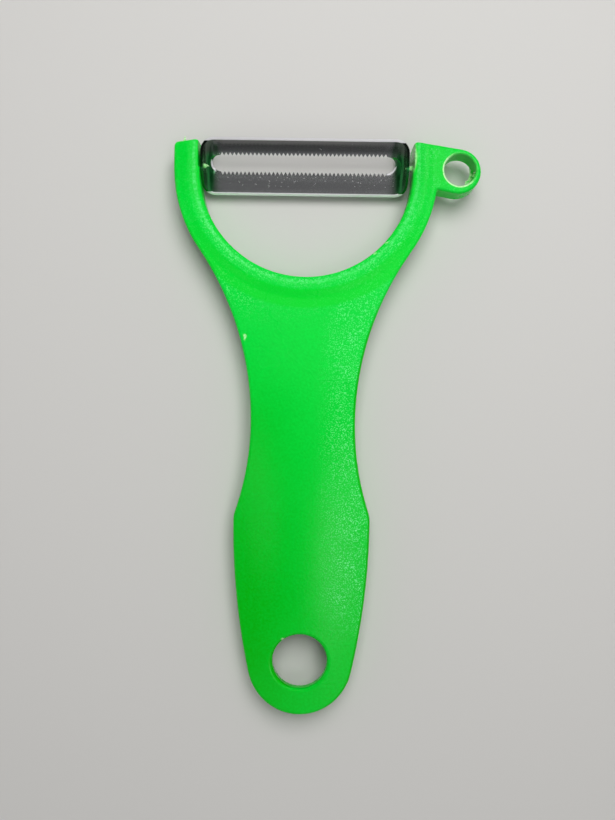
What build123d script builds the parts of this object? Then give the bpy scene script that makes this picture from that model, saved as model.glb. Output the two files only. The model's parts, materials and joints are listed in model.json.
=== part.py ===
from build123d import *
from math import acos, asin, atan2, cos, degrees, hypot, radians, sin, sqrt
import os

# Y-shaped vegetable peeler: a moulded handle with a two-armed fork, and a swivelling blade.
# It lies face up: +Z is up, +Y runs from the tail of the handle to the blade.

# Outline of the handle, from the end of its tail to the tips of its arms
tail_radius = 12.2
side_radius = 162.0
shoulder_half_width = 15.8
shoulder_round = 7.0
waist_half_width = 12.05
waist_lower_radius = 63.5
waist_upper_radius = 70.0
arm_outer_radius = 33.0
arm_width = 5.9
arm_straight = 6.5
tip_corner_round = 1.1

# Heights, walls and rounded edges of the handle
arm_top_height = 8.2
arm_depth = 6.4
face_wall = 2.0
side_wall = 1.9
edge_round = 0.7
hollow_round = 0.6
rim_round = 0.3
overrun = 1.0

# Crown of the front face, as the control points of one smooth patch: how far each row stands
# over the flat face of the fork and how tightly it is curved across, from the tail to the fork.
# The last two rows are flat, so that the patch runs smoothly into the fork.
crown_rise = 1.4
crown_radius = 58.0
crown_station_shares = (-0.02, 0.12, 0.26, 0.40, 0.52, 0.63, 0.73)
crown_rise_shares = (-0.70, 0.40, 1.45, 1.20, 0.80, 0.0, 0.0)
crown_curve_shares = (0.90, 1.00, 1.10, 1.00, 0.70, 0.0, 0.0)

# Underside: it lies flat up to the waist, then rises to the undersides of the arms
lift_start_share = 0.52
lift_end_share = 0.71

# Hanging hole in the tail, with a collar in the hollow behind it
hole_radius = 6.3
hole_offset = 0.37
hole_round = 0.8
collar_wall = 1.2
collar_foot_below_top = 2.6

# Ring on the right arm, for digging eyes out of potatoes, and the web that carries it. The hole
# is off the middle of the ring, outwards and upwards alike, so the ring is thickest below.
ring_hole_radius = 3.7
ring_wall = 1.45
ring_hole_shift = 0.3
ring_gap = 1.2
ring_depth = 5.3
ring_below_pivot = 0.95
ring_chamfer = 0.25
web_foot = 4.12
web_round = 0.4

# Pivot pins moulded on the arms, and the ramps over them that let the blade snap in
pin_radius = 0.55
pin_tip_radius = 0.15
pin_straight = 1.0
pin_cone = 0.45
pin_root = 0.5
pivot_below_tip = 5.6
pivot_below_top = 3.0
fork_centre_below_pivot = 1.35
ramp_width = 0.4
ramp_depth = 3.0
ramp_below_pivot = 0.9
hollow_end_below_pivot = 4.0

# Blade: stamped sheet, troughed along its length and bent up at both ends. It slides a
# little along its pins, and stands to the left of the middle by a share of the side gap.
sheet = 0.55
blade_half_length = 24.15
blade_side_gap = 0.5
blade_shift_share = -0.7
trough_depth = 4.5
trough_radius = 4.2
trough_angle = 36.0
wing_radius = 11.6
wing_angle = 28.0
bend_radius = 2.5
ear_radius = 2.4
pin_clearance = 0.07
blade_tilt = 26.5

# Slot between the two toothed cutting edges, which are ground on their outer side. It stands a
# little to the left of the blade's own middle.
slot_end_margin = 2.31
slot_shift = -0.3
slot_half_width = 1.89
tooth_end_margin = 1.64
tooth_pitch = 0.97
tooth_depth = 0.75
tooth_width_share = 0.44
bevel_width = 1.3
bevel_edge = 0.16


def tangent_point(start, centre, radius, side):
    """Where a line from start touches a circle, on the side given as 1 or -1."""
    across = start[0] - centre[0]
    along = start[1] - centre[1]
    angle = atan2(along, across) + side * acos(radius / hypot(across, along))
    return (centre[0] + radius * cos(angle), centre[1] + radius * sin(angle))


# Turns and stations of the outline, worked out from the sizes above
half_gap = blade_half_length + blade_side_gap
arm_outer = half_gap + arm_width
arm_middle = half_gap + arm_width / 2
arm_bottom_height = arm_top_height - arm_depth
blank_height = arm_top_height + 2 * crown_rise + overrun
side_offset = side_radius - shoulder_half_width
tail_to_shoulder = sqrt((side_radius - tail_radius) ** 2 - side_offset**2)
tail_turn = degrees(atan2(tail_to_shoulder, side_offset))
shoulder_reach = shoulder_round + waist_lower_radius
shoulder_turn = degrees(acos(1 - (shoulder_half_width - waist_half_width) / shoulder_reach))
arm_reach = waist_upper_radius + arm_outer_radius
arm_turn = degrees(acos(1 - (arm_outer - waist_half_width) / arm_reach))
shoulder_station = tail_radius + tail_to_shoulder
waist_station = shoulder_station + shoulder_reach * sin(radians(shoulder_turn))
tip_station = waist_station + arm_reach * sin(radians(arm_turn)) + arm_straight
pivot_station = tip_station - pivot_below_tip
fork_station = pivot_station - fork_centre_below_pivot
hole_station = tail_radius + hole_offset
ring_station = pivot_station - ring_below_pivot
ring_outer_radius = ring_hole_radius + ring_wall
ring_hole_x = arm_outer + ring_gap + ring_hole_radius
ring_outer_x = ring_hole_x - ring_hole_shift + ring_outer_radius

# The top edge of the web runs from the inner corner of the right tip to the ring, and both
# tips have its slope
ring_point = (ring_hole_x - ring_hole_shift, ring_station - ring_hole_shift)
web_end = tangent_point((half_gap, tip_station), ring_point, ring_outer_radius, -1)
tip_slope = (tip_station - web_end[1]) / (web_end[0] - half_gap)
outer_tip_station = tip_station - tip_slope * arm_width
web_start = (arm_middle, tip_station - tip_slope * arm_width / 2)
web_foot_point = (arm_middle, ring_station - web_foot)
web_foot_end = tangent_point(web_foot_point, ring_point, ring_outer_radius, 1)

# The slot keeps its distance from the ends of the blade, and its teeth theirs from its ends
slot_length = 2 * (blade_half_length - slot_end_margin)
tooth_run = slot_length - 2 * tooth_end_margin

# The handle's own axis stands left of the middle of the whole, because of the ring
axis_x = (arm_outer - ring_outer_x) / 2
tail_y = -tip_station / 2
pivot = Vector(axis_x, tail_y + pivot_station, arm_top_height - pivot_below_top)
handle_plane = Plane((axis_x, tail_y, 0))


def outer_edges(faces):
    """The edges round a group of faces, without those between two of them."""
    edges = [edge for face in faces for edge in face.edges()]
    return ShapeList(edge for edge in edges if edges.count(edge) == 1)


def cross_plane(station):
    """The upright plane across the handle at a station, seen from the tail."""
    return Plane((axis_x, tail_y + station, 0), x_dir=(1, 0, 0), z_dir=(0, -1, 0))


def face_body(lowered):
    """Everything under the front face, or under that face lowered by a wall."""
    reach = ring_outer_x + overrun
    flat_height = arm_top_height - lowered
    fork_start = tail_y + crown_station_shares[-1] * tip_station
    rows = []
    for station_share, rise_share, curve_share in zip(
        crown_station_shares, crown_rise_shares, crown_curve_shares
    ):
        station_y = tail_y + station_share * tip_station
        middle = flat_height + crown_rise * rise_share
        fall = curve_share * reach**2 / (2 * crown_radius)
        # A middle control point stands twice as high over the ends as its curve's top does
        rows.append(
            [
                (axis_x - reach, station_y, middle - fall),
                (axis_x, station_y, middle + fall),
                (axis_x + reach, station_y, middle - fall),
            ]
        )
    with BuildPart() as body:
        extrude(Face.make_bezier_surface(rows), amount=blank_height + overrun, dir=(0, 0, -1))
        with BuildSketch(Plane((axis_x, fork_start, flat_height))):
            Rectangle(2 * reach, tip_station, align=(Align.CENTER, Align.MIN))
        extrude(amount=-blank_height - overrun)
    return body.part


front = face_body(0)
under = face_body(face_wall)

with BuildSketch() as outline:
    with BuildLine():
        tail = JernArc((0, 0), (1, 0), tail_radius, 90 - tail_turn)
        side = JernArc(tail @ 1, tail % 1, side_radius, tail_turn)
        shoulder = JernArc(side @ 1, side % 1, shoulder_round, shoulder_turn)
        waist_lower = JernArc(shoulder @ 1, shoulder % 1, waist_lower_radius, -shoulder_turn)
        waist_upper = JernArc(waist_lower @ 1, waist_lower % 1, waist_upper_radius, -arm_turn)
        arm = JernArc(waist_upper @ 1, waist_upper % 1, arm_outer_radius, arm_turn)
        Polyline(
            arm @ 1,
            (arm_outer, outer_tip_station),
            (half_gap, tip_station),
            (half_gap, fork_station),
        )
        CenterArc((0, fork_station), half_gap, 270, 90)
        mirror(about=Plane.YZ)
    make_face()
    tip_corners = outline.vertices().filter_by_position(
        Axis.Y, tip_station - arm_straight / 2, tip_station + overrun
    )
    fillet(tip_corners, radius=tip_corner_round)

# The open hollow in the back of the handle runs out along the arms, round the hole's collar
channel_width = arm_width - 2 * side_wall
hollow_end = pivot_station - hollow_end_below_pivot
with BuildPart() as hollow:
    with BuildSketch(handle_plane.offset(-overrun)):
        add(outline.sketch)
        offset(amount=-side_wall, mode=Mode.REPLACE)
        with Locations((0, hollow_end)):
            Rectangle(
                2 * arm_outer,
                pivot_station,
                align=(Align.CENTER, Align.MIN),
                mode=Mode.SUBTRACT,
            )
    extrude(amount=blank_height)
    add(under, mode=Mode.INTERSECT)
    roof_edges = outer_edges(hollow.faces().sort_by(Axis.Z)[-2:])
    fillet(roof_edges, radius=min(hollow_round, channel_width / 3))
    with BuildSketch(handle_plane.offset(arm_top_height - collar_foot_below_top)):
        with Locations((0, hole_station)):
            Circle(hole_radius + collar_wall)
    extrude(amount=blank_height, mode=Mode.SUBTRACT)

lift_start = lift_start_share * tip_station
lift_end = lift_end_share * tip_station
lift_middle = (lift_start + lift_end) / 2
hole_mouth = handle_plane.from_local_coords(Vector(0, hole_station, arm_top_height))
ring_mouth = handle_plane.from_local_coords(Vector(ring_hole_x, ring_station, arm_top_height))

with BuildPart() as handle:
    with BuildSketch(handle_plane):
        add(outline.sketch)
    extrude(amount=blank_height)
    with BuildSketch(handle_plane.offset(arm_top_height - ring_depth)) as ring_outline:
        add(outline.sketch)
        with Locations(ring_point):
            Circle(ring_outer_radius)
        with BuildLine():
            Polyline(web_start, web_foot_point, web_foot_end, web_end, close=True)
        make_face()
        web_corner = (arm_outer, ring_station - web_foot)
        fillet(ring_outline.vertices().sort_by_distance(web_corner)[0], radius=web_round)
    extrude(amount=blank_height)
    add(front, mode=Mode.INTERSECT)
    fillet(outer_edges(handle.faces().sort_by(Axis.Z)[-2:]), radius=edge_round)

    # The underside rises from the rim of the grip to the undersides of the arms
    with BuildSketch(Plane((axis_x, tail_y, 0), x_dir=(0, 1, 0), z_dir=(1, 0, 0))):
        with BuildLine():
            Bezier(
                (lift_start, 0),
                (lift_middle, 0),
                (lift_middle, arm_bottom_height),
                (lift_end, arm_bottom_height),
            )
            Polyline(
                (lift_end, arm_bottom_height),
                (tip_station + overrun, arm_bottom_height),
                (tip_station + overrun, -overrun),
                (lift_start, -overrun),
                (lift_start, 0),
            )
        make_face()
    extrude(amount=ring_outer_x + overrun, both=True, mode=Mode.SUBTRACT)
    add(hollow.part, mode=Mode.SUBTRACT)

    # Hanging hole, with a rounded mouth, and the ring's hole, with a fine chamfer
    with BuildSketch(handle_plane.offset(-overrun)):
        with Locations((0, hole_station)):
            Circle(hole_radius)
        with Locations((ring_hole_x, ring_station)):
            Circle(ring_hole_radius)
    extrude(amount=blank_height + overrun, mode=Mode.SUBTRACT)
    front_edges = outer_edges(handle.faces().sort_by(Axis.Z)[-2:])
    fillet(front_edges.sort_by_distance(hole_mouth)[0], radius=hole_round)
    chamfer(front_edges.sort_by_distance(ring_mouth)[0], length=ring_chamfer)

    # The rim and the undersides of the arms have fine rounded edges
    low_faces = handle.faces().filter_by_position(Axis.Z, -overrun, arm_bottom_height)
    fillet(outer_edges(low_faces), radius=rim_round)

    # Ramps that lead the ends of the blade down onto the pins
    with BuildSketch(cross_plane(pivot_station - ramp_below_pivot)):
        Polygon(
            (half_gap - overrun, arm_top_height + overrun),
            (half_gap - overrun, arm_top_height - ramp_depth),
            (half_gap, arm_top_height - ramp_depth),
            (half_gap + ramp_width, arm_top_height),
            (half_gap + ramp_width, arm_top_height + overrun),
            align=None,
        )
        mirror(about=Plane.YZ)
    extrude(amount=-tip_station, mode=Mode.SUBTRACT)

    # Pivot pins, each a short shaft with a pointed end
    with BuildSketch(Plane(pivot)):
        Polygon(
            (half_gap + pin_root, 0),
            (half_gap + pin_root, pin_radius),
            (half_gap - pin_straight, pin_radius),
            (half_gap - pin_straight - pin_cone, pin_tip_radius),
            (half_gap - pin_straight - pin_cone, 0),
            align=None,
        )
        mirror(about=Plane.YZ)
    revolve(axis=Axis(pivot, (1, 0, 0)))

# The blade is drawn about its middle on the pivot: across it, and up out of its trough
tilt = radians(blade_tilt)
blade_across = Vector(0, cos(tilt), sin(tilt))
blade_up = Vector(0, -sin(tilt), cos(tilt))
blade_middle = pivot + Vector(blade_shift_share * blade_side_gap, 0, 0)
section_plane = Plane(blade_middle, x_dir=blade_across, z_dir=(1, 0, 0))
slot_middle = blade_middle + Vector(slot_shift, 0, 0)
slot_plane = Plane(slot_middle, x_dir=(1, 0, 0), z_dir=blade_up)
bevel_plane = Plane(slot_middle, x_dir=blade_across, z_dir=(1, 0, 0))
up_axis = Axis(blade_middle, blade_up)


def trough_bottom(shapes):
    """The curved edges of the trough, without those of the ears over the pivot."""
    arcs = shapes.edges().filter_by(GeomType.CIRCLE)
    return arcs.filter_by_position(up_axis, -trough_depth - 2 * sheet, 0)


with BuildPart() as bowl:
    with BuildSketch(section_plane):
        with BuildLine():
            trough_inner = JernArc((0, -trough_depth), (1, 0), trough_radius, trough_angle)
            wing_inner = JernArc(trough_inner @ 1, trough_inner % 1, wing_radius, wing_angle)
            mouth = wing_inner @ 1 + (wing_inner % 1) * ear_radius
            Polyline(
                wing_inner @ 1,
                mouth,
                (mouth.X, mouth.Y + ear_radius),
                (0, mouth.Y + ear_radius),
            )
            mirror(about=Plane.YZ)
        make_face()
    extrude(amount=blade_half_length - sheet, both=True)
    fillet(trough_bottom(bowl), radius=bend_radius)

with BuildPart() as blade:
    with BuildSketch(section_plane):
        with BuildLine():
            trough_outer = JernArc(
                (0, -trough_depth - sheet), (1, 0), trough_radius + sheet, trough_angle
            )
            wing_outer = JernArc(
                trough_outer @ 1, trough_outer % 1, wing_radius + sheet, wing_angle
            )
            rim = wing_outer @ 1
            ear_side = tangent_point((rim.X, rim.Y), (0, 0), ear_radius, 1)
            ear_angle = degrees(atan2(ear_side[1], ear_side[0]))
            Line(rim, ear_side)
            CenterArc((0, 0), ear_radius, ear_angle, 90 - ear_angle)
            mirror(about=Plane.YZ)
        make_face()
    extrude(amount=blade_half_length, both=True)
    fillet(trough_bottom(blade), radius=bend_radius + sheet)
    add(bowl.part, mode=Mode.SUBTRACT)

    # Holes for the pins
    with BuildSketch(section_plane):
        Circle(pin_radius + pin_clearance)
    extrude(amount=blade_half_length + overrun, both=True, mode=Mode.SUBTRACT)

    # Bevels ground on the outer side, along both edges of the slot
    trough_centre = -trough_depth + trough_radius
    edge_angle = asin(slot_half_width / (trough_radius + sheet))
    bevel_angle = edge_angle + bevel_width / (trough_radius + sheet)
    thin_radius = trough_radius + bevel_edge
    far_radius = trough_radius + sheet + overrun
    with BuildSketch(bevel_plane):
        Polygon(
            (thin_radius * sin(edge_angle), trough_centre - thin_radius * cos(edge_angle)),
            (0, trough_centre - thin_radius * cos(edge_angle)),
            (0, trough_centre - far_radius),
            (far_radius * sin(bevel_angle), trough_centre - far_radius * cos(bevel_angle)),
            (
                (trough_radius + sheet) * sin(bevel_angle),
                trough_centre - (trough_radius + sheet) * cos(bevel_angle),
            ),
            align=None,
        )
        mirror(about=Plane.YZ)
    extrude(amount=tooth_run / 2, both=True, mode=Mode.SUBTRACT)

    # The slot, with a saw's teeth along both edges
    with BuildSketch(slot_plane):
        SlotOverall(slot_length, 2 * slot_half_width)
        with GridLocations(tooth_pitch, 0, int(tooth_run / tooth_pitch), 1):
            Polygon(
                (-tooth_pitch * tooth_width_share, 0),
                (-tooth_pitch * tooth_width_share, slot_half_width),
                (0, slot_half_width + tooth_depth),
                (tooth_pitch * tooth_width_share, slot_half_width),
                (tooth_pitch * tooth_width_share, 0),
                align=None,
            )
        mirror(about=Plane.XZ)
    extrude(amount=-trough_depth - sheet - overrun, mode=Mode.SUBTRACT)

handle.part.label = "handle"
blade.part.label = "blade"

os.makedirs("parts", exist_ok=True)
export_step(handle.part, "parts/handle.step")
export_step(blade.part, "parts/blade.step")
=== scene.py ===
import json
import math
import random
from functools import reduce

import bpy
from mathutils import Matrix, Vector

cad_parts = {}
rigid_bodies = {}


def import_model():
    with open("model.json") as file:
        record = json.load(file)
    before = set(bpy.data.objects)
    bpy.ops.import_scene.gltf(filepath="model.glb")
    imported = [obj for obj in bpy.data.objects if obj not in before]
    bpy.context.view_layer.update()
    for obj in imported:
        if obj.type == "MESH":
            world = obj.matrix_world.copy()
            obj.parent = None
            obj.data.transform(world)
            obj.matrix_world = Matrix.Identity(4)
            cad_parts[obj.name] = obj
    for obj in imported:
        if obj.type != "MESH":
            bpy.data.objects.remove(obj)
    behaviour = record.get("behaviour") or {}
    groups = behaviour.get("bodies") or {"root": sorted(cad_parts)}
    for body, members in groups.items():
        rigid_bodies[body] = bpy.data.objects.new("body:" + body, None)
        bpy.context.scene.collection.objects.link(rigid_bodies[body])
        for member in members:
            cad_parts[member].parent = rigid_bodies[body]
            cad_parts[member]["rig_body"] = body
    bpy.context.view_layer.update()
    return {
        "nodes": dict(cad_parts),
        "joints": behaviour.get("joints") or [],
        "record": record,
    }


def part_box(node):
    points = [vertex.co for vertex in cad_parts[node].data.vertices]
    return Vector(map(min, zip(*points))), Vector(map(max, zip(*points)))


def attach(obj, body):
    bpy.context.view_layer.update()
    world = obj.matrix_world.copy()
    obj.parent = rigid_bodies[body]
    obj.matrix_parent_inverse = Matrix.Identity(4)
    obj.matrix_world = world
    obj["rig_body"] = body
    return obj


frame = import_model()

# The looks of a vegetable peeler: a green moulded handle and a polished stainless blade.
# Lengths are metres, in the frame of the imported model.
MM = 0.001
RIGHT = (1, 0, 0)
UP = (0, 0, 1)


def mm(x, y, z):
    """A place, a step or a size given in millimetres."""
    return Vector((x, y, z)) * MM


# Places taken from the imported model
record = frame["record"]
mounts = {mount["name"]: mount for mount in record["mounts"]}
openings = {opening["name"]: opening for opening in record["physics"]["openings"]}
pivot = Vector(frame["joints"][0]["pos_m"])
handle_low, handle_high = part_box("handle")
blade_low, blade_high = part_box("blade")
blade_middle_x = (blade_low.x + blade_high.x) / 2
ring_low, ring_high = (Vector(corner) for corner in openings["eye_ring"]["box_m"])
ring_middle = (ring_low + ring_high) / 2
hole_below_pivot = pivot.y - Vector(mounts["hanging_hole"]["pos_m"]).y

# The photograph: image size, focal length in pixels, and where its camera stood
IMAGE_HEIGHT = 820
FOCAL_PIXELS = 790.0
CAMERA_PLACE = (-3.84 * MM, 4.11 * MM, 190.0 * MM)
CAMERA_ROLL = math.radians(0.8)
SENSOR_HEIGHT = 24.0
CLIP_START = 5 * MM


def add_camera():
    """The photograph's camera: straight above the peeler, close to it."""
    data = bpy.data.cameras.new("camera")
    data.sensor_fit = "VERTICAL"
    data.sensor_height = SENSOR_HEIGHT
    data.lens = SENSOR_HEIGHT * FOCAL_PIXELS / IMAGE_HEIGHT
    data.clip_start = CLIP_START
    camera = bpy.data.objects.new("camera", data)
    camera.location = CAMERA_PLACE
    camera.rotation_euler = (0, 0, CAMERA_ROLL)
    bpy.context.scene.collection.objects.link(camera)
    bpy.context.scene.camera = camera


# Noises swing about this value, and spots are full up to this share of their half sizes
NOISE_MIDDLE = 0.5
SPOT_CORE = 0.5

# The colour sockets of a mix node, which share their names with its other sockets
MIX_FIRST, MIX_SECOND, MIX_RESULT = 6, 7, 2


class Shader:
    """The nodes of a material or a world, made and joined by short calls."""

    def __init__(self, tree):
        self.tree = tree

    def fill(self, node, inputs):
        """Give a node's inputs, by name or number, their constants and links."""
        for name, value in inputs.items():
            socket = node.inputs[name]
            if isinstance(value, bpy.types.NodeSocket):
                self.tree.links.new(value, socket)
            elif socket.type == "RGBA":
                socket.default_value = (*value, 1.0)
            else:
                socket.default_value = value

    def node(self, kind, settings=None, inputs=None):
        """A new node, with its settings and inputs."""
        node = self.tree.nodes.new(kind)
        for name, value in (settings or {}).items():
            setattr(node, name, value)
        self.fill(node, inputs or {})
        return node

    def surface(self, inputs):
        """Give the material's surface its constants and links."""
        self.fill(self.tree.nodes["Principled BSDF"], inputs)

    def combine(self, operation, *values, clamp=False):
        """Values taken in turn through one operation, two at a time."""
        settings = {"operation": operation, "use_clamp": clamp}

        def pair(first, second):
            return self.node("ShaderNodeMath", settings, {0: first, 1: second}).outputs[0]

        return reduce(pair, values)

    def total(self, *values):
        """All the values added."""
        return self.combine("ADD", *values)

    def difference(self, first, second):
        """The first value less the second."""
        return self.combine("SUBTRACT", first, second)

    def product(self, *values):
        """All the values multiplied."""
        return self.combine("MULTIPLY", *values)

    def greatest(self, *values):
        """The greatest of the values."""
        return self.combine("MAXIMUM", *values)

    def vector(self, operation, first, second, output="Vector"):
        """The result of a vector operation on two places."""
        settings = {"operation": operation}
        return self.node("ShaderNodeVectorMath", settings, {0: first, 1: second}).outputs[output]

    def dot(self, first, second):
        """The dot product of two vectors."""
        return self.vector("DOT_PRODUCT", first, second, "Value")

    def length(self, offset):
        """The length of a vector."""
        return self.vector("LENGTH", offset, (0, 0, 0), "Value")

    def coordinate(self, kind):
        """A texture coordinate: the place in the piece's own frame, its normal or a direction."""
        return self.node("ShaderNodeTexCoord").outputs[kind]

    def axes(self, place):
        """The X, Y and Z of a place."""
        return self.node("ShaderNodeSeparateXYZ", None, {0: place}).outputs

    def flat(self, across, along):
        """A flat offset, from its two measures."""
        return self.node("ShaderNodeCombineXYZ", None, {0: across, 1: along}).outputs[0]

    def fade(self, value, start, end, at_start=0.0, at_end=1.0):
        """A smooth fade as a value goes from start to end, held beyond them."""
        settings = {"interpolation_type": "SMOOTHSTEP"}
        inputs = {
            "Value": value,
            "From Min": start,
            "From Max": end,
            "To Min": at_start,
            "To Max": at_end,
        }
        return self.node("ShaderNodeMapRange", settings, inputs).outputs["Result"]

    def band(self, value, low, high, soft):
        """One between two values, and nothing a little outside them."""
        return self.product(self.fade(value, low - soft, low), self.fade(value, high + soft, high))

    def noise(self, place, per_metre, detail, roughness=0.5, output=0):
        """A noise of so many features to the metre, with so many octaves of finer detail."""
        inputs = {"Vector": place, "Scale": per_metre, "Detail": detail, "Roughness": roughness}
        return self.node("ShaderNodeTexNoise", None, inputs).outputs[output]

    def shaken(self, place, noise, amount):
        """The place moved to and fro, so that a mark laid by it has an uneven outline."""
        swing = self.noise(place, *noise, output="Color")
        swing = self.vector("SUBTRACT", swing, (NOISE_MIDDLE,) * 3)
        swing = self.vector("MULTIPLY", swing, (amount,) * 3)
        return self.vector("ADD", place, swing)

    def spot(self, place, centre, half_size):
        """A rounded mark: one in its middle, falling to nothing at its half sizes."""
        share = self.vector("DIVIDE", self.vector("SUBTRACT", place, centre), half_size)
        return self.fade(self.length(share), 1.0, SPOT_CORE)

    def layered(self, colour, layers):
        """A colour with others laid over it in turn, each by its own share."""
        for share, layer in layers:
            inputs = {"Factor": share, MIX_FIRST: colour, MIX_SECOND: layer}
            mix = self.node("ShaderNodeMix", {"data_type": "RGBA"}, inputs)
            colour = mix.outputs[MIX_RESULT]
        return colour

    def bump(self, height, distance, before=None):
        """A bump of a height between 0 and 1 times a distance in metres, on one before it."""
        inputs = {"Height": height, "Distance": distance}
        if before is not None:
            inputs["Normal"] = before
        return self.node("ShaderNodeBump", None, inputs).outputs["Normal"]


def new_material(name, shader_class=Shader):
    """A material and the shader that draws it."""
    material = bpy.data.materials.new(name)
    material.use_nodes = True
    return material, shader_class(material.node_tree)


# Green plastic. From here on a noise is given by its features to the metre and its octaves of
# detail, a fade by where it starts and ends and the values there, which are 0 and 1 where they
# aren't given, and a band by its two sides and how soft they are.
# Some of these greens carry painted shade, painted highlights and sparkle
GREEN = (0.0, 0.73, 0.05)
GREEN_DEEP = (0.0, 0.46, 0.0)
GREEN_LIP_SHADE = (0.0, 0.70, 0.022)
GREEN_SHADED = (0.0, 0.47, 0.0)
GREEN_SCUFFS_AND_SHEEN = (0.18, 0.90, 0.32)
GREEN_WHITENED_AND_HIGHLIGHT = (0.56, 0.96, 0.48)
PLASTIC_SPECULAR = 0.22
PLASTIC_SCATTER = 0.1
PLASTIC_SCATTER_RADIUS = (0.2, 1.0, 0.3)
PLASTIC_SCATTER_SCALE = 1.0 * MM

# Its surface: clouds of more or less gloss, a slow swell and a fine moulded grain
CLOUD = (45, 3.0)
SWELL = (260, 2.0)
GRAIN = (1700, 1.5)
PLASTIC_ROUGHNESS = (0.3, 0.7, 0.22, 0.30)
SWELL_DEPTH = 0.03 * MM
GRAIN_DEPTH = 0.03 * MM

# How bright its green is, with painted shade and light: it is deeper in the grip, most on its
# left, and at the arms' tips.
# "Below" is a distance from the pivot towards the tail, and "across" is one to its right.
PAINTED_LIGHT_BELOW = (hole_below_pivot, 20 * MM, 0.3, 0.78)
PAINTED_SHADE_TIPS_BELOW = (2 * MM, 14 * MM, 0.75, 1.0)
PAINTED_SHADE_LEFT_ACROSS = (4 * MM, -14 * MM, 0.0, 0.27)
PAINTED_SHADE_LEFT_BELOW = (40 * MM, 65 * MM)
CLOUD_SHARE = 0.3
MOTTLE_SHARE = 0.5

# The right edge of the grip and the waist, where the plastic faces to the right, is dark: this is
# painted shade
SHADED_FACING = (0.2, 0.42, 0.0, 0.9)
SHADED_BELOW = (25 * MM, 40 * MM)

# A low lip runs round the fork's inner edge. It is measured by the reach: the distance from the
# middle of the fork's round end. Its far side is painted deep as painted shade, a broken painted
# highlight runs along it, and the inner edge of the arms beside it has painted shade again.
FORK_CENTRE_BELOW_PIVOT = 1.35 * MM
LIP_FAR_SIDE = (30.0 * MM, 27.3 * MM)
LIP_NEAR_SIDE = (24.65 * MM, 27.3 * MM, 0.1, 1.0)
LIP_HEIGHT = 0.32 * MM
LIP_SHADE_BAND = (28.0 * MM, 31.5 * MM, 0.8 * MM)
LIP_SHADE_BAND_BELOW = (6 * MM, 22 * MM, 0.25, 0.75)
LIP_HIGHLIGHT = (25.75 * MM, 26.1 * MM, 0.4 * MM)
LIP_HIGHLIGHT_NOISE = (1500, 2.0)
LIP_HIGHLIGHT_BROKEN = (0.35, 0.65, 0.05, 0.3)
INNER_EDGE_SHADE = (25.75 * MM, 25.35 * MM)
INNER_EDGE_SHADE_BELOW = (24 * MM, 14 * MM, 0.0, 0.45)

# Painted sparkle, with some wear from handling, pales the peaks of the grain: on the right side,
# on the arms beside their middle line, and on two spots of the ring's web, given by their place
# from the pivot and half size
SPARKLE_SCUFFS_ACROSS = (2 * MM, 11 * MM)
SPARKLE_SCUFFS_ABOVE_HOLE = (hole_below_pivot - 2 * MM, hole_below_pivot - 16 * MM)
SPARKLE_SCUFFS_BELOW_ARMS = (24 * MM, 44 * MM, 0.6, 1.0)
SPARKLE_SCUFFS_ON_ARMS = (40 * MM, 24 * MM, 0.0, 0.65)
SPARKLE_SCUFFS_BELOW_TIPS = (4 * MM, 14 * MM, 0.35, 1.0)
ARM_MIDDLE = 28.1 * MM
SPARKLE_SCUFFS_BESIDE_MIDDLE = (0.8 * MM, 2.6 * MM, 0.45, 1.0)
SPARKLE_SCUFFED_SPOTS = (
    (mm(29.8, -3.9, 2.9), mm(1.6, 2.8, 2.0)),
    (mm(29.3, 2.8, 2.9), mm(1.8, 1.8, 2.0)),
)
SPARKLE_SCUFFED_SPOT_SHARE = 0.6
SPARKLE_SCUFFS_FACING_UP = (0.86, 0.96)
PATCH_NOISE = (240, 2.0)
PATCHES = (0.35, 0.65, 0.55, 1.0)
PEAK_NOISE = (3600, 1.0)
PEAKS = (0.53, 0.67, 0.0, 0.9)

# Marks whitened by strain or a knock: place from the pivot, half size, and how white each is
SCARS = {
    "right_ramp": (mm(24.75, 1.7, 1.6), mm(0.9, 4.2, 3.4), 0.82),
    "right_pin": (mm(24.2, 0.0, 0.0), mm(1.4, 1.0, 1.0), 1.0),
    "left_pin": (mm(-23.9, 0.0, 0.0), mm(1.3, 1.0, 1.0), 1.0),
    "hole_rim": (mm(-3.95, -109.5, 3.1), mm(0.55, 0.45, 1.0), 1.0),
    "left_waist": (mm(-13.7, -40.1, 2.7), mm(0.5, 1.0, 0.9), 1.0),
    "right_arm_low": (mm(15.95, -20.4, 2.9), mm(0.6, 0.45, 0.6), 0.5),
    "right_arm_high": (mm(18.7, -17.9, 2.9), mm(0.6, 0.4, 0.6), 0.7),
}
SCAR_NOISE = (1800, 3.0)
SCAR_RAGGED = (0.35, 0.6, 0.45, 1.0)
SCAR_SWING_NOISE = (900, 2.0)
SCAR_SWING = 0.9 * MM

# The ring on the right arm. The rim of its hole carries a painted highlight, most on the lower
# left.
RING_RADIUS = 3.7 * MM
RING_TOP = pivot.z + 3.0 * MM
RING_FOOT = RING_TOP - 5.3 * MM
RIM_WIDTH = 0.34 * MM
RIM_LINE = (RING_RADIUS - RIM_WIDTH / 4, RING_RADIUS + RIM_WIDTH, RIM_WIDTH / 4)
RIM_SIDE = (-0.75, -0.66, 0)
RIM_TURN = (-0.6 * RING_RADIUS, 0.3 * RING_RADIUS, 0.1, 1.0)
RIM_HEIGHT = (RING_TOP - 0.6 * MM, RING_TOP - 0.3 * MM)
RIM_NOISE = (900, 2.0)
RIM_RAGGED = (0.35, 0.55, 0.5, 1.0)


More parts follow.
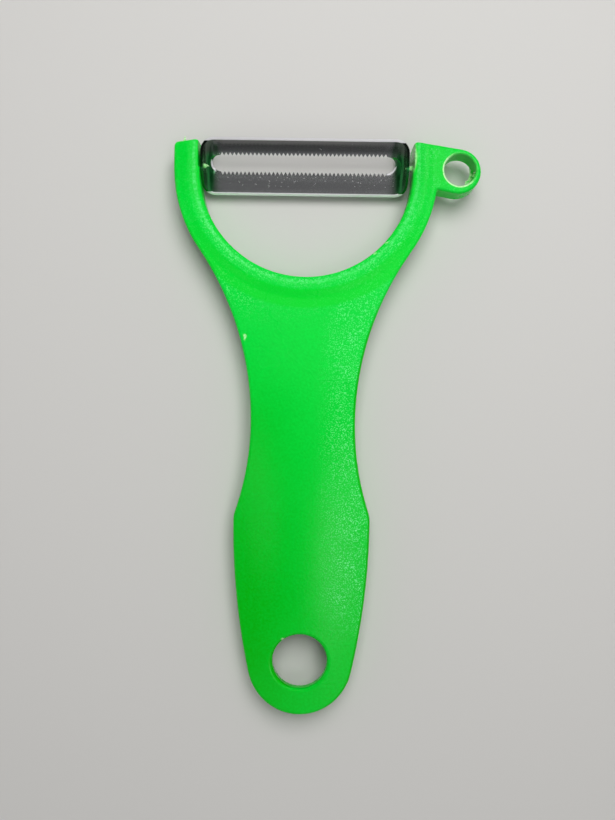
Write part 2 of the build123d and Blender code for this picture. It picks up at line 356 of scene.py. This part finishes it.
class HandleShader(Shader):
    """The shader of the handle, with the measures that its marks are placed by."""

    def __init__(self, tree):
        super().__init__(tree)
        self.place = self.coordinate("Object")
        self.facing = self.coordinate("Normal")
        axes = self.axes(self.place)
        self.height = axes["Z"]
        self.across = self.difference(axes["X"], pivot.x)
        self.below = self.difference(pivot.y, axes["Y"])
        self.cloud = self.noise(self.place, *CLOUD)
        self.grain = self.noise(self.place, *GRAIN)

        # Beyond the fork's round end, the reach is the distance from the middle line
        along = self.greatest(self.difference(self.below, FORK_CENTRE_BELOW_PIVOT), 0.0)
        self.reach = self.length(self.flat(self.across, along))

    def brightness(self):
        """How bright the green is: painted shade and light, with clouds, and mottled by the grain.
        """
        bright = self.fade(self.below, *PAINTED_LIGHT_BELOW)
        bright = self.total(bright, self.product(self.cloud, CLOUD_SHARE))
        bright = self.product(bright, self.fade(self.below, *PAINTED_SHADE_TIPS_BELOW))
        mottle = self.product(self.difference(self.grain, NOISE_MIDDLE), MOTTLE_SHARE)
        # Painted shade on the left of the grip
        left = self.product(
            self.fade(self.across, *PAINTED_SHADE_LEFT_ACROSS), self.fade(self.below, *PAINTED_SHADE_LEFT_BELOW)
        )
        return self.combine("SUBTRACT", self.total(bright, mottle), left, clamp=True)

    def lip_shade_band(self):
        """Painted shade on the smooth far side of the lip."""
        return self.product(
            self.band(self.reach, *LIP_SHADE_BAND), self.fade(self.below, *LIP_SHADE_BAND_BELOW)
        )

    def inner_edge_shade(self):
        """Painted shade on the inner edge of the arms."""
        return self.product(
            self.fade(self.reach, *INNER_EDGE_SHADE), self.fade(self.below, *INNER_EDGE_SHADE_BELOW)
        )

    def lip_highlight(self):
        """A broken painted highlight along the lip."""
        broken = self.fade(self.noise(self.place, *LIP_HIGHLIGHT_NOISE), *LIP_HIGHLIGHT_BROKEN)
        return self.product(self.band(self.reach, *LIP_HIGHLIGHT), broken)

    def shaded_edge(self):
        """Painted shade on the smooth right edge of the grip and the waist."""
        return self.product(
            self.fade(self.dot(self.facing, RIGHT), *SHADED_FACING),
            self.fade(self.below, *SHADED_BELOW),
        )

    def scuffs_and_sparkle(self):
        """Paled peaks of the grain, painted sparkle with scuffs, in patches where the plastic
        faces up.
        """
        right = self.product(
            self.fade(self.across, *SPARKLE_SCUFFS_ACROSS),
            self.fade(self.below, *SPARKLE_SCUFFS_ABOVE_HOLE),
            self.fade(self.below, *SPARKLE_SCUFFS_BELOW_ARMS),
        )
        beside = self.combine("ABSOLUTE", self.difference(self.reach, ARM_MIDDLE), 0.0)
        arms = self.product(
            self.fade(self.below, *SPARKLE_SCUFFS_ON_ARMS), self.fade(beside, *SPARKLE_SCUFFS_BESIDE_MIDDLE)
        )
        zone = self.product(self.greatest(right, arms), self.fade(self.below, *SPARKLE_SCUFFS_BELOW_TIPS))
        for offset, half_size in SPARKLE_SCUFFED_SPOTS:
            mark = self.spot(self.place, pivot + offset, half_size)
            zone = self.greatest(zone, self.product(mark, SPARKLE_SCUFFED_SPOT_SHARE))
        return self.product(
            zone,
            self.fade(self.dot(self.facing, UP), *SPARKLE_SCUFFS_FACING_UP),
            self.fade(self.noise(self.place, *PATCH_NOISE), *PATCHES),
            self.fade(self.noise(self.place, *PEAK_NOISE), *PEAKS),
        )

    def scars(self):
        """The marks whitened by strain or a knock, ragged, with uneven outlines."""
        ragged = self.fade(self.noise(self.place, *SCAR_NOISE), *SCAR_RAGGED)
        uneven = self.shaken(self.place, SCAR_SWING_NOISE, SCAR_SWING)
        marks = []
        for offset, half_size, strength in SCARS.values():
            mark = self.spot(uneven, pivot + offset, half_size)
            marks.append(self.product(mark, ragged, strength))
        return self.greatest(*marks)

    def ring_rim_highlight(self):
        """A painted highlight on the rim of the ring's hole, ragged along its length."""
        offset = self.vector("SUBTRACT", self.place, ring_middle)
        flat = self.vector("MULTIPLY", offset, (1, 1, 0))
        return self.product(
            self.band(self.length(flat), *RIM_LINE),
            self.fade(self.dot(flat, RIM_SIDE), *RIM_TURN),
            self.fade(self.height, *RIM_HEIGHT),
            self.fade(self.noise(self.place, *RIM_NOISE), *RIM_RAGGED),
        )

    def relief(self):
        """The lip, and on it the swell and the grain."""
        far_side = self.fade(self.reach, *LIP_FAR_SIDE)
        near_side = self.fade(self.reach, *LIP_NEAR_SIDE)
        relief = self.bump(self.combine("MINIMUM", far_side, near_side), LIP_HEIGHT)
        relief = self.bump(self.noise(self.place, *SWELL), SWELL_DEPTH, relief)
        return self.bump(self.grain, GRAIN_DEPTH, relief)


def plastic_material():
    """Satin green plastic with a fine moulded grain, painted shade and highlights, scuffing and a
    few whitened marks.
    """
    material, handle = new_material("green_plastic", HandleShader)
    lip_shade_band = handle.lip_shade_band()
    # Over the deep green lie painted light and shade, painted highlights and sparkle, and real
    # marks
    layers = (
        (handle.brightness(), GREEN),
        (lip_shade_band, GREEN_LIP_SHADE),
        (handle.inner_edge_shade(), GREEN_LIP_SHADE),
        (handle.lip_highlight(), GREEN_SCUFFS_AND_SHEEN),
        (handle.product(handle.scuffs_and_sparkle(), handle.difference(1.0, lip_shade_band)), GREEN_SCUFFS_AND_SHEEN),
        (handle.shaded_edge(), GREEN_SHADED),
        # Whitened marks, and the painted highlight on the ring's rim
        (handle.greatest(handle.ring_rim_highlight(), handle.scars()), GREEN_WHITENED_AND_HIGHLIGHT),
    )
    handle.surface({
        "Base Color": handle.layered(GREEN_DEEP, layers),
        "Roughness": handle.fade(handle.cloud, *PLASTIC_ROUGHNESS),
        "Normal": handle.relief(),
        "Specular IOR Level": PLASTIC_SPECULAR,
        "Subsurface Weight": PLASTIC_SCATTER,
        "Subsurface Radius": PLASTIC_SCATTER_RADIUS,
        "Subsurface Scale": PLASTIC_SCATTER_SCALE,
    })
    return material


# Stainless steel, painted dark on the upper wall as painted shade, and a little hazy on the
# lower one. "Across" and "above" are distances from the pivot across the tilted blade and
# square to it, and "along" is one from the blade's middle.
STEEL = (0.56, 0.57, 0.58)
STEEL_SMEARED = (0.48, 0.48, 0.49)
STEEL_PAINTED_SHADE = (0.07, 0.07, 0.07)
STEEL_CUT_AND_HIGHLIGHT = (0.93, 0.91, 0.94)
STEEL_SPECK = (0.85, 0.85, 0.83)
BLADE_TILT = math.radians(26.5)
BLADE_ACROSS = (0, math.cos(BLADE_TILT), math.sin(BLADE_TILT))
BLADE_UP = (0, -math.sin(BLADE_TILT), math.cos(BLADE_TILT))
PAINTED_SHADE_ACROSS = (1.5 * MM, 3.5 * MM, 0.0, 0.8)
HAZE_ACROSS = (0.5 * MM, -1.5 * MM, 0.0, 0.11)
STEEL_ROUGHNESS = (0.3, 0.7, 0.14, 0.24)
MATT_ROUGHNESS = 0.25
MATT_HAZE = 0.65

# The marks of its rolling: smears and fine lines, stretched along the blade
ROLLING_STRETCH = (0.04, 1.0, 1.0)
SMEAR_NOISE = (700, 3.0)
LINE_NOISE = (9000, 3.0, 0.6)
LINE_DEPTH = 0.002 * MM

# The bent ends carry a painted reflection of the green plastic beside them
STEEL_PAINTED_REFLECTION = (0.02, 0.20, 0.05)
PAINTED_REFLECTION_REACH = (20.3 * MM, 22.2 * MM)

# The cut edges of the sheet, along both sides of the blade, matt and painted pale as a highlight
CUT_EDGE_LOWER = (-5.7 * MM, -5.8 * MM)
CUT_EDGE_UPPER = (5.76 * MM, 5.86 * MM, 0.0, 0.8)
CUT_EDGE_ABOVE = (0.25 * MM, 0.35 * MM)

# Pale specks, thickest beside the lower row of teeth
SPECKS_PER_METRE = 2200.0
SPECK_SIZE = (0.30, 0.12)
SPECK_NOISE = (900, 1.0)
SPECKS_ACROSS = (-4.6 * MM, -3.0 * MM, 0.5 * MM)
SPECKS_MORE = 0.16
SPECKS_CHOSEN = (0.68, 0.78, 0.0, 0.85)

# Painted highlights, bright crescents at the slot's ends: where the middle of each end's arc lies
# along the blade, and the way that its crescent faces
SLOT_RADIUS = 1.9 * MM
PAINTED_GLINTS = ((-20.25 * MM, (-0.94, -0.34, 0)), (19.65 * MM, (0.64, -0.77, 0)))
GLINT_RIM = (SLOT_RADIUS - 0.3 * MM, SLOT_RADIUS + 0.25 * MM, 0.15 * MM)
GLINT_TURN = (0.72 * SLOT_RADIUS, 0.95 * SLOT_RADIUS)


class BladeShader(Shader):
    """The shader of the blade, with the measures that its marks are placed by."""

    def __init__(self, tree):
        super().__init__(tree)
        self.place = self.coordinate("Object")
        offset = self.vector("SUBTRACT", self.place, pivot)
        self.along = self.difference(self.axes(self.place)["X"], blade_middle_x)
        self.across = self.dot(offset, BLADE_ACROSS)
        self.above = self.dot(offset, BLADE_UP)
        rolled = self.vector("MULTIPLY", self.place, ROLLING_STRETCH)
        self.smear = self.noise(rolled, *SMEAR_NOISE)
        self.lines = self.noise(rolled, *LINE_NOISE)
        # The bent ends, which carry a painted reflection of the green arms
        self.ends = self.fade(self.combine("ABSOLUTE", self.along, 0.0), *PAINTED_REFLECTION_REACH)

    def cut_edges(self):
        """The cut edges of the sheet, dulled by tumbling and painted pale as a highlight."""
        sides = self.greatest(
            self.fade(self.across, *CUT_EDGE_LOWER), self.fade(self.across, *CUT_EDGE_UPPER)
        )
        return self.product(self.fade(self.above, *CUT_EDGE_ABOVE), sides)

    def specks(self):
        """Pale specks, away from the bent ends."""
        inputs = {"Vector": self.place, "Scale": SPECKS_PER_METRE}
        cells = self.node("ShaderNodeTexVoronoi", None, inputs).outputs["Distance"]
        beside_teeth = self.product(self.band(self.across, *SPECKS_ACROSS), SPECKS_MORE)
        chosen = self.total(self.noise(self.place, *SPECK_NOISE), beside_teeth)
        return self.product(
            self.fade(cells, *SPECK_SIZE),
            self.fade(chosen, *SPECKS_CHOSEN),
            self.difference(1.0, self.ends),
        )

    def painted_glints(self):
        """Painted highlights: the bright crescents at the ends of the slot."""
        crescents = []
        for end, towards in PAINTED_GLINTS:
            flat = self.flat(self.difference(self.along, end), self.across)
            rim = self.band(self.length(flat), *GLINT_RIM)
            crescents.append(self.product(rim, self.fade(self.dot(flat, towards), *GLINT_TURN)))
        return self.greatest(*crescents)


def steel_material():
    """Polished stainless sheet, with the fine lines of its rolling along the blade."""
    material, blade = new_material("stainless_steel", BladeShader)
    # The cut edges and the slot's ends, painted pale as highlights
    cut_edges_and_glints = blade.greatest(blade.cut_edges(), blade.painted_glints())
    specks = blade.specks()
    matt = blade.greatest(cut_edges_and_glints, specks)
    haze = blade.fade(blade.across, *HAZE_ACROSS)
    layers = (
        (blade.smear, STEEL),
        # A painted reflection of the green arms on the bent ends
        (blade.ends, STEEL_PAINTED_REFLECTION),
        # Painted shade on the upper wall
        (blade.fade(blade.across, *PAINTED_SHADE_ACROSS), STEEL_PAINTED_SHADE),
        (cut_edges_and_glints, STEEL_CUT_AND_HIGHLIGHT),
        (specks, STEEL_SPECK),
    )
    blade.surface({
        "Base Color": blade.layered(STEEL_SMEARED, layers),
        "Metallic": blade.difference(1.0, blade.greatest(blade.product(matt, MATT_HAZE), haze)),
        "Roughness": blade.total(
            blade.fade(blade.smear, *STEEL_ROUGHNESS), blade.product(matt, MATT_ROUGHNESS)
        ),
        "Normal": blade.bump(blade.lines, LINE_DEPTH),
    })
    return material


# Flash: threads and a skin of plastic left by the mould, whitened where they were torn
FLASH_GREEN = (0.10, 0.70, 0.13)
FLASH_WHITE = (0.60, 0.90, 0.48)
FLASH_NOISE = (1300, 3.0)
FLASH_TORN = (0.38, 0.6)
FLASH_GRAIN = (1700, 2.0)
FLASH_GRAIN_DEPTH = 0.03 * MM
FLASH_ROUGHNESS = 0.45
FLASH_SCATTER = 0.2
FLASH_SCATTER_RADIUS = (0.6, 1.0, 0.6)
FLASH_SCATTER_SCALE = 0.5 * MM
TUBE_SIDES = 8


def flash_material(name, least_torn):
    """Thin plastic, whitened in places, and at least so much all over."""
    material, flash = new_material(name)
    place = flash.coordinate("Object")
    torn = flash.fade(flash.noise(place, *FLASH_NOISE), *FLASH_TORN, least_torn, 1.0)
    flash.surface({
        "Base Color": flash.layered(FLASH_GREEN, ((torn, FLASH_WHITE),)),
        "Normal": flash.bump(flash.noise(place, *FLASH_GRAIN), FLASH_GRAIN_DEPTH),
        "Roughness": FLASH_ROUGHNESS,
        "Subsurface Weight": FLASH_SCATTER,
        "Subsurface Radius": FLASH_SCATTER_RADIUS,
        "Subsurface Scale": FLASH_SCATTER_SCALE,
    })
    return material


def new_piece(name, vertices, faces, material):
    """A smooth mesh of one material, from its vertices and faces."""
    mesh = bpy.data.meshes.new(name)
    mesh.from_pydata([tuple(vertex) for vertex in vertices], [], faces)
    mesh.update()
    mesh.materials.append(material)
    for polygon in mesh.polygons:
        polygon.use_smooth = True
    piece = bpy.data.objects.new(name, mesh)
    bpy.context.scene.collection.objects.link(piece)
    return piece


def closed_tube(name, path, radii, material, sides=TUBE_SIDES):
    """A closed thread of plastic along a path, with a radius at each point."""
    vertices = []
    faces = []
    for index, (point, radius) in enumerate(zip(path, radii)):
        before = path[max(index - 1, 0)]
        after = path[min(index + 1, len(path) - 1)]
        turn = (after - before).to_track_quat("Z", "Y")
        for side in range(sides):
            angle = 2 * math.pi * side / sides
            spoke = Vector((math.cos(angle), math.sin(angle), 0)) * radius
            vertices.append(point + turn @ spoke)
        if index:
            start = (index - 1) * sides
            for side in range(sides):
                here, beside = start + side, start + (side + 1) % sides
                faces.append((here, beside, beside + sides, here + sides))
    last = (len(path) - 1) * sides
    faces.append(tuple(reversed(range(sides))))
    faces.append(tuple(last + side for side in range(sides)))
    return new_piece(name, vertices, faces, material)


def closed_strip(rows):
    """The faces of a closed strip round rows of as many points each, capped at both ends."""
    count = len(rows[0])
    starts = [row * count for row in range(len(rows))]
    faces = []
    for here, there in zip(starts, starts[1:] + starts[:1]):
        for step in range(count - 1):
            faces.append((here + step, here + step + 1, there + step + 1, there + step))
    faces.append(tuple(starts))
    faces.append(tuple(start + count - 1 for start in reversed(starts)))
    return faces


def ring_point(turn, reach, height):
    """A point round the middle of the ring's hole, by its turn in degrees from the right."""
    angle = math.radians(turn)
    across, along = reach * math.cos(angle), reach * math.sin(angle)
    return Vector((ring_middle.x + across, ring_middle.y + along, height))


# The skin at the foot of the ring's hole: where it starts, is widest and ends, in degrees from
# the right, and its sizes. Its free edge is torn, curled up where it is widest, and beaded.
SKIN_START, SKIN_WIDEST, SKIN_END = 38, -38, -62
SKIN_STEPS = 18
SKIN_SEED = 7
SKIN_WIDTH = 1.15 * MM
SKIN_TAPER = 0.8
SKIN_RAGGED = (0.85, 1.1)
SKIN_THICKNESS = 0.14 * MM
SKIN_ROOT_SUNK = 0.1 * MM
SKIN_ROOT_HEIGHT = RING_FOOT + 0.3 * MM
SKIN_EDGE_HEIGHT = RING_FOOT + 0.25 * MM
SKIN_CURL = 0.5 * MM
BEAD_RADIUS = 0.05 * MM
BEAD_SWELL = 0.09 * MM
SKIN_TORN = 0.0
BEAD_TORN = 0.75


def skin_edge(turn, rng):
    """The free edge of the skin at a turn in degrees from the right."""
    nearer_end = SKIN_START if turn > SKIN_WIDEST else SKIN_END
    share = (turn - nearer_end) / (SKIN_WIDEST - nearer_end)
    width = SKIN_WIDTH * share**SKIN_TAPER * rng.uniform(*SKIN_RAGGED)
    return ring_point(turn, RING_RADIUS - width, SKIN_EDGE_HEIGHT + SKIN_CURL * share)


def add_ring_skin():
    """The torn skin at the foot of the ring's hole, and the pale bead along its edge."""
    rng = random.Random(SKIN_SEED)
    steps = range(SKIN_STEPS + 1)
    turns = [SKIN_START + (SKIN_END - SKIN_START) * step / SKIN_STEPS for step in steps]
    edge = [skin_edge(turn, rng) for turn in turns]
    root = [ring_point(turn, RING_RADIUS + SKIN_ROOT_SUNK, SKIN_ROOT_HEIGHT) for turn in turns]
    lift = Vector((0, 0, SKIN_THICKNESS))
    rows = (root, edge, [point + lift for point in edge], [point + lift for point in root])
    skin = new_piece(
        "ring_skin",
        [point for row in rows for point in row],
        closed_strip(rows),
        flash_material("plastic_flash_skin", SKIN_TORN),
    )
    bead = closed_tube(
        "ring_skin_edge",
        [point + lift / 2 for point in edge],
        [BEAD_RADIUS + BEAD_SWELL * math.sin(math.pi * step / SKIN_STEPS) for step in steps],
        flash_material("plastic_flash_torn", BEAD_TORN),
    )
    return [skin, bead]


# Ragged bits on the right wall of the ring's hole: the turn of each in degrees from the right
# and how far it leans, the least and the most that it starts below the ring's top and that it
# rises, how deep it is sunk, how far it stands out, how high it bows, and its radii
BIT_SEED = 11
BIT_TURNS = (-2, -9, -17)
BIT_LEAN = 4
BIT_BELOW_TOP = (1.4 * MM, 2.2 * MM)
BIT_RISE = (0.1 * MM, 0.5 * MM)
BIT_SUNK = 0.05 * MM
BIT_REACH = 0.45 * MM
BIT_BOW = Vector((0, 0, 0.12 * MM))
BIT_RADII = (0.16 * MM, 0.12 * MM, 0.04 * MM)


def add_ring_bits(material):
    """Ragged bits of plastic on the right wall of the ring's hole."""
    rng = random.Random(BIT_SEED)
    bits = []
    for number, turn in enumerate(BIT_TURNS):
        foot = ring_point(turn, RING_RADIUS + BIT_SUNK, RING_TOP - rng.uniform(*BIT_BELOW_TOP))
        tip_height = foot.z + rng.uniform(*BIT_RISE)
        tip = ring_point(turn - BIT_LEAN, RING_RADIUS - BIT_REACH, tip_height)
        path = [foot, (foot + tip) / 2 + BIT_BOW, tip]
        bits.append(closed_tube(f"ring_bit_{number}", path, BIT_RADII, material))
    return bits


# Spikes of flash on the end of the left arm and on the left pin, close to the blade's own axis:
# the foot of each, its steps from there, and its radius at each step
SPIKES = {
    "tip_spike": (
        Vector((pivot.x, handle_high.y, pivot.z)) + mm(-28.35, -0.45, 1.6),
        (mm(0, 0, 0), mm(0.05, 0.6, 0.1), mm(0.2, 1.3, 0.15)),
        (0.36 * MM, 0.26 * MM, 0.08 * MM),
    ),
    "pin_spike": (
        Vector((blade_low.x, pivot.y, pivot.z)) + mm(0.92, 0.09, 0.15),
        (mm(0, 0, 0), mm(0.4, -0.05, 0.05), mm(0.85, -0.2, 0.1)),
        (0.34 * MM, 0.22 * MM, 0.05 * MM),
    ),
}
THREADS_TORN = 0.3


def add_spikes(material):
    """The little spikes of flash."""
    return [
        closed_tube(name, [foot + step for step in steps], radii, material)
        for name, (foot, steps, radii) in SPIKES.items()
    ]


# The floor, a little below the peeler
FLOOR_COLOUR = (0.62, 0.61, 0.59)
FLOOR_ROUGHNESS = 0.75
FLOOR_HALF = 3.0
FLOOR_GAP = 0.02 * MM


def add_floor():
    """A plain pale floor under the peeler."""
    material, shader = new_material("pale_floor")
    shader.surface({"Base Color": FLOOR_COLOUR, "Roughness": FLOOR_ROUGHNESS})
    sides = ((-1, -1), (1, -1), (1, 1), (-1, 1))
    corners = [(x * FLOOR_HALF, y * FLOOR_HALF, 0.0) for x, y in sides]
    floor = new_piece("floor", corners, [(0, 1, 2, 3)], material)
    floor.location.z = handle_low.z - FLOOR_GAP


# A large soft window light, and soft boxes farther off that the gloss of the plastic mirrors:
# the direction, half width in degrees and brightness of each
WINDOW_PLACE = (0.04, 0.20, 0.40)
WINDOW_SIZE = 0.30
WINDOW_POWER = 1.62
SOFT_BOX_DISTANCE = 1.2
SOFT_BOXES = {
    "soft_box_back": (Vector((0.31, 0.39, 0.86)), 9.0, 2.2),
    "soft_box_right": (Vector((0.30, -0.25, 0.92)), 11.0, 2.6),
    "soft_box_left": (Vector((-0.34, -0.12, 0.93)), 7.0, 1.2),
}


def add_area_lamp(name, place, shape, size, power, mirrored):
    """A soft lamp aimed at the peeler, which its gloss may or may not mirror."""
    data = bpy.data.lights.new(name, "AREA")
    data.shape = shape
    data.size = size
    data.energy = power
    lamp = bpy.data.objects.new(name, data)
    lamp.location = place
    lamp.rotation_euler = Vector(place).to_track_quat("Z", "Y").to_euler()
    lamp.visible_camera = False
    lamp.visible_glossy = mirrored
    bpy.context.scene.collection.objects.link(lamp)


def add_lamps():
    """The window light and the soft boxes, whose power is pi times brightness times area."""
    add_area_lamp("window", WINDOW_PLACE, "SQUARE", WINDOW_SIZE, WINDOW_POWER, mirrored=False)
    for name, (towards, half_width, brightness) in SOFT_BOXES.items():
        radius = SOFT_BOX_DISTANCE * math.tan(math.radians(half_width))
        power = math.pi * brightness * math.pi * radius**2
        place = towards.normalized() * SOFT_BOX_DISTANCE
        add_area_lamp(name, place, "DISK", 2 * radius, power, mirrored=True)


# The room's brightness at heights from the horizon, 0, to straight overhead, 1, and a glow high
# up on the tail's side: a band along Y and one by height
ROOM = (
    (0.0, 0.74),
    (0.05, 0.72),
    (0.13, 0.50),
    (0.27, 0.33),
    (0.42, 0.26),
    (0.62, 0.17),
    (0.86, 0.04),
)
FRONT_GLOW = 0.45
FRONT_GLOW_ALONG = (-0.68, -0.50, 0.12)
FRONT_GLOW_HEIGHT = (0.70, 0.88, 0.12)


def add_room():
    """A room with pale walls that is dim overhead."""
    world = bpy.data.worlds.new("room")
    world.use_nodes = True
    bpy.context.scene.world = world
    room = Shader(world.node_tree)
    axes = room.axes(room.coordinate("Generated"))
    ramp = room.node("ShaderNodeValToRGB", None, {"Fac": axes["Z"]})
    stops = ramp.color_ramp.elements
    stops.remove(stops[1])
    for index, (height, level) in enumerate(ROOM):
        stop = stops.new(height) if index else stops[0]
        stop.position = height
        stop.color = (level, level, level, 1.0)
    glow = room.product(
        room.band(axes["Y"], *FRONT_GLOW_ALONG),
        room.band(axes["Z"], *FRONT_GLOW_HEIGHT),
        FRONT_GLOW,
    )
    background = world.node_tree.nodes["Background"]
    room.fill(background, {"Color": room.total(ramp.outputs["Color"], glow)})


add_camera()
add_floor()
add_room()
add_lamps()

for name, material in (("handle", plastic_material()), ("blade", steel_material())):
    for slot in frame["nodes"][name].material_slots:
        slot.material = material

handle_body = frame["nodes"]["handle"]["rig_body"]
torn_plastic = flash_material("plastic_flash", THREADS_TORN)
for piece in add_ring_bits(torn_plastic) + add_spikes(torn_plastic) + add_ring_skin():
    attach(piece, handle_body)

bpy.context.scene.view_settings.view_transform = "Standard"
